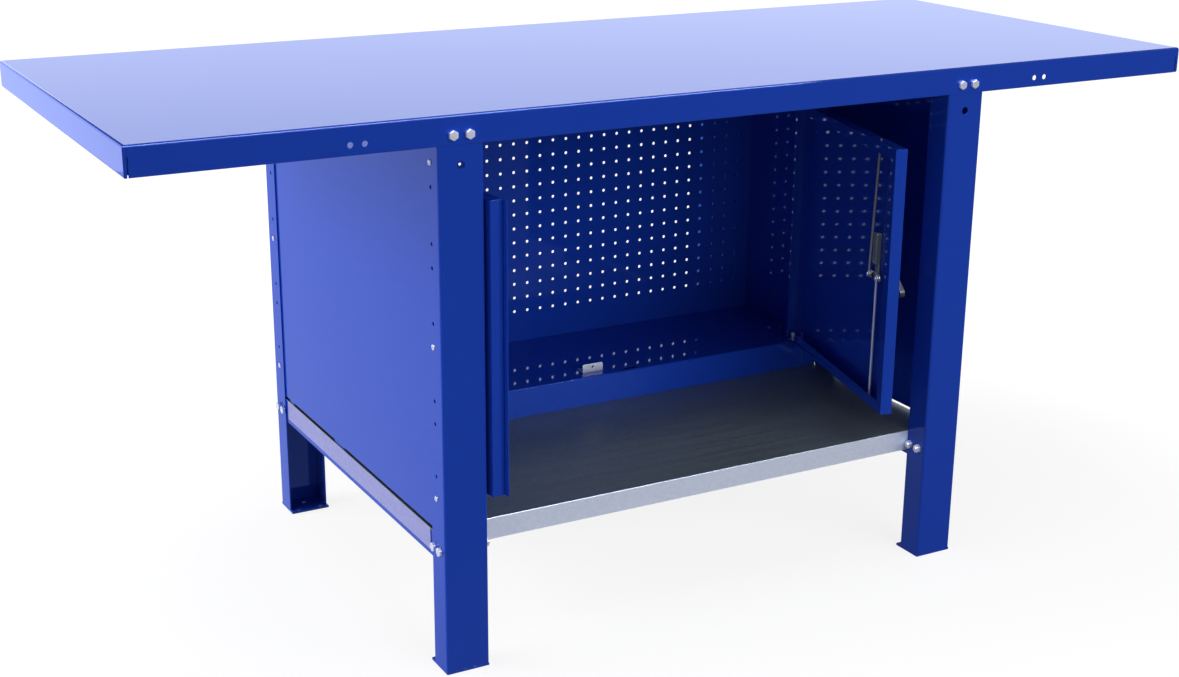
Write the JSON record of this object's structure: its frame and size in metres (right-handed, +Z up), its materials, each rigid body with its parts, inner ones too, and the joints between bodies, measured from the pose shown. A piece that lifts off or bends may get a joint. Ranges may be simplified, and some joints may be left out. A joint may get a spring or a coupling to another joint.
{
  "type": "workbench with cabinet doors",
  "caption": "Steel workbench: folded top on channel legs, galvanised lower shelf and a cabinet with a perforated back, closed by hinged doors with a rod lock.",
  "frame": {"origin": "on the floor, under the middle of the whole object with its doors open as at rest", "axes": "+X to the right along the top, +Y from the front to the rear, +Z up"},
  "size_m": [1.82, 0.76, 0.85],
  "materials": {
    "paint": "gloss blue powder coat",
    "galvanised": "bright galvanised sheet",
    "zinc": "bright zinc plate",
    "black": "satin dark grey"
  },
  "bodies": {
    "frame": {"back_panel": "paint", "bench_top": "paint", "cabinet_floor": "paint", "door_stop": "zinc", "foot_plate_front_left": "paint", "foot_plate_front_right": "paint", "foot_plate_rear_left": "paint", "foot_plate_rear_right": "paint", "hinge_post_left": "paint", "hinge_post_right": "paint", "leg_front_left": "paint", "leg_front_right": "paint", "leg_rear_left": "paint", "leg_rear_right": "paint", "lower_pivot_left": "zinc", "lower_pivot_right": "zinc", "shelf": "galvanised", "shelf_bolt_front_left_1": "zinc", "shelf_bolt_front_left_2": "zinc", "shelf_bolt_front_right_1": "zinc", "shelf_bolt_front_right_2": "zinc", "shelf_bolt_rear_left_1": "zinc", "shelf_bolt_rear_left_2": "zinc", "shelf_bolt_rear_right_1": "zinc", "shelf_bolt_rear_right_2": "zinc", "side_panel_left": "paint", "side_panel_right": "paint", "side_stretcher_left": "paint", "side_stretcher_right": "paint", "skirt_bolt_front_left_1": "zinc", "skirt_bolt_front_left_2": "zinc", "skirt_bolt_front_right_1": "zinc", "skirt_bolt_front_right_2": "zinc", "skirt_bolt_rear_left_1": "zinc", "skirt_bolt_rear_left_2": "zinc", "skirt_bolt_rear_right_1": "zinc", "skirt_bolt_rear_right_2": "zinc", "top_stiffener_front": "paint", "top_stiffener_rear": "paint", "upper_pivot_left": "zinc", "upper_pivot_right": "zinc", "upper_rail": "paint"},
    "left_door": {"left_door": "paint", "left_door_stop_strip": "paint"},
    "right_door": {"right_door": "paint", "lock_case": "black"},
    "lock": {"lock_handle": "black", "lock_cam": "zinc"},
    "upper_rod": {"upper_rod": "zinc"},
    "lower_rod": {"lower_rod": "zinc"}
  },
  "joints": [
    {"name": "left_door_hinge", "type": "hinge", "parent": "frame", "child": "left_door", "pos_m": [-0.43, 0.05674, 0.5], "axis": [0, 0, 1], "range_deg": [0, 85.42]},
    {"name": "right_door_hinge", "type": "hinge", "parent": "frame", "child": "right_door", "pos_m": [0.43, 0.05674, 0.5], "axis": [0, 0, 1], "range_deg": [-76, 4]},
    {"name": "lock_turn", "type": "hinge", "parent": "right_door", "child": "lock", "pos_m": [0.35563, -0.28286, 0.4945], "axis": [0.9703, -0.2419, 0], "range_deg": [0, 90]},
    {"name": "upper_rod_slide", "type": "slide", "parent": "right_door", "child": "upper_rod", "axis": [-0.0186, -0.0746, 0.997], "range_m": [0, 0.016]},
    {"name": "lower_rod_slide", "type": "slide", "parent": "right_door", "child": "lower_rod", "axis": [0.0022, 0.0089, -1], "range_m": [0, 0.016]}
  ],
  "couplings": [
    {"joint": "upper_rod_slide", "follows": "lock_turn", "m_per_rad": 0.010186},
    {"joint": "lower_rod_slide", "follows": "lock_turn", "m_per_rad": 0.010186}
  ]
}
